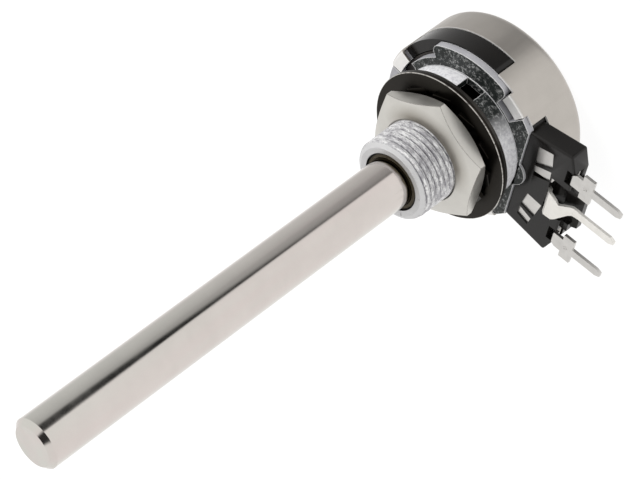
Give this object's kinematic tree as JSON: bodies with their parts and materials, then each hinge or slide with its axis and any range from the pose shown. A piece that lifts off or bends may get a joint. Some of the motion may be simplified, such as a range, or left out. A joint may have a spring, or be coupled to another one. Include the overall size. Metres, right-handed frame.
{
  "type": "rotary potentiometer",
  "caption": "Single-turn rotary potentiometer with a long plain round shaft, threaded panel bush, hexagon nut and washers, sheet-metal cover and a black terminal block with three board pins.",
  "frame": {"origin": "on the shaft's axis, at the flat back of the cover", "axes": "+Z along the shaft to its free end, -Y towards the board pins, +X to the right when the shaft points up and the pins point at the viewer"},
  "size_m": [0.0222, 0.0329, 0.073],
  "materials": {
    "plated_steel": "nickel plated, satin",
    "zinc": "bare zinc die casting, dull and grainy, with a turned thread",
    "nickel": "nickel plated, satin",
    "black_steel": "blackened spring steel",
    "grey_steel": "dull steel",
    "cover_steel": "tinned sheet steel, satin",
    "black_moulding": "black phenolic moulding, matte",
    "phenolic": "brown laminated phenolic paper",
    "carbon": "printed carbon, smooth",
    "brass": "bare brass",
    "tin": "tin plated brass, soft sheen",
    "natural_plastic": "natural acetal, smooth",
    "bronze": "phosphor bronze spring sheet"
  },
  "bodies": {
    "housing": {"bush_plate": "zinc", "hex_nut": "nickel", "tooth_washer": "black_steel", "flat_washer": "grey_steel", "cover": "cover_steel", "moulded_base": "black_moulding", "track_wafer": "phenolic", "carbon_track": "carbon", "collector_ring": "brass", "terminal_left": "tin", "terminal_centre": "tin", "terminal_right": "tin", "rivet_left": "brass", "rivet_centre": "brass", "rivet_right": "brass", "thrust_washer": "grey_steel"},
    "spindle": {"shaft": "plated_steel", "rotor": "natural_plastic", "wiper_spring": "bronze", "retaining_clip": "grey_steel", "dished_washer": "grey_steel"}
  },
  "joints": [
    {"name": "shaft_turn", "type": "hinge", "parent": "housing", "child": "spindle", "pos_m": [0, 0, 0.02], "axis": [0, 0, 1], "range_deg": [-150, 150]}
  ]
}
